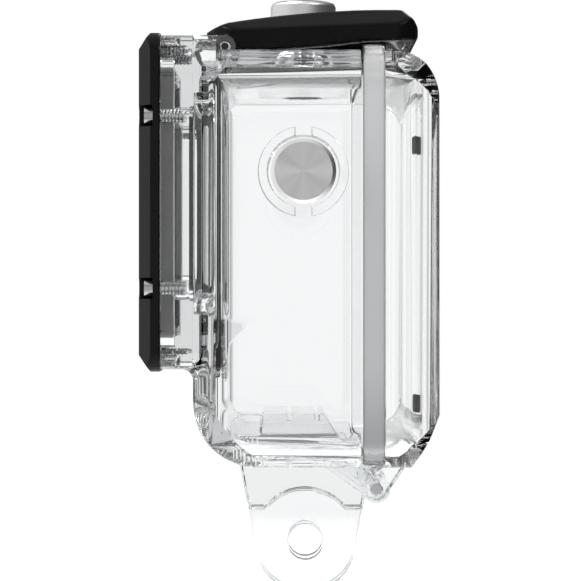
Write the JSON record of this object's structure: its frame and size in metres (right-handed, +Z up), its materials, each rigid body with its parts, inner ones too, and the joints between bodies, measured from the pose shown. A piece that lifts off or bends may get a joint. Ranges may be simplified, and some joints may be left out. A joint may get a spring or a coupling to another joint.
{
  "type": "camera housing",
  "caption": "Clear waterproof housing for a small action camera: hinged back door with seal, black top latch, framed lens port, push buttons and a mounting foot.",
  "frame": {"origin": "centre of the mounting finger bore", "axes": "+Z up, front (lens port) towards -Y, +X along the finger bore, towards the side with the side button"},
  "size_m": [0.0815, 0.0413, 0.09],
  "materials": {
    "clear_shell": "clear moulded polycarbonate, polished",
    "window": "flat coated window",
    "black_rubber": "matte black rubber",
    "black_sheet": "thin matte black sheet",
    "black_bezel": "satin black plastic",
    "steel": "stainless steel",
    "silicone": "translucent grey white silicone",
    "black_lever": "satin black plastic",
    "button_metal": "spun brushed face, bright chamfer"
  },
  "bodies": {
    "housing": {"front_shell": "clear_shell", "mount_foot": "clear_shell", "camera_cradle": "clear_shell", "port_window": "window", "window_gasket": "black_rubber", "lens_mask": "black_sheet", "port_bezel": "black_bezel", "bezel_screws": "steel", "hinge_pins": "steel", "latch_pin": "steel", "side_button_oring": "black_rubber", "side_button_spring": "steel", "shutter_oring": "black_rubber", "shutter_spring": "steel"},
    "door": {"back_door": "clear_shell", "door_seal": "silicone", "door_pads": "black_rubber"},
    "latch": {"latch_lever": "black_lever"},
    "side_button": {"side_button_cap": "button_metal", "side_button_shaft": "steel", "side_button_clip": "steel", "side_button_pad": "black_rubber"},
    "shutter_button": {"shutter_cap": "button_metal", "shutter_shaft": "steel", "shutter_clip": "steel", "shutter_pad": "black_rubber"}
  },
  "joints": [
    {"name": "door_hinge", "type": "hinge", "parent": "housing", "child": "door", "pos_m": [0, 0.0098, 0.0096], "axis": [-1, 0, 0], "range_deg": [0, 95]},
    {"name": "latch_lift", "type": "hinge", "parent": "housing", "child": "latch", "pos_m": [0, -0.0113, 0.0712], "axis": [1, 0, 0], "range_deg": [0, 95]},
    {"name": "side_button_press", "type": "slide", "parent": "housing", "child": "side_button", "axis": [-1, 0, 0], "range_m": [0, 0.0018], "stiffness_N_per_m": 600, "springref_m": -0.002, "deforming": ["side_button_spring"]},
    {"name": "shutter_press", "type": "slide", "parent": "housing", "child": "shutter_button", "axis": [0, 0, -1], "range_m": [0, 0.0025], "stiffness_N_per_m": 600, "springref_m": -0.002, "deforming": ["shutter_spring"]}
  ],
  "couplings": [
    {"joint": "latch_lift", "follows": "door_hinge", "ratio": 1}
  ]
}
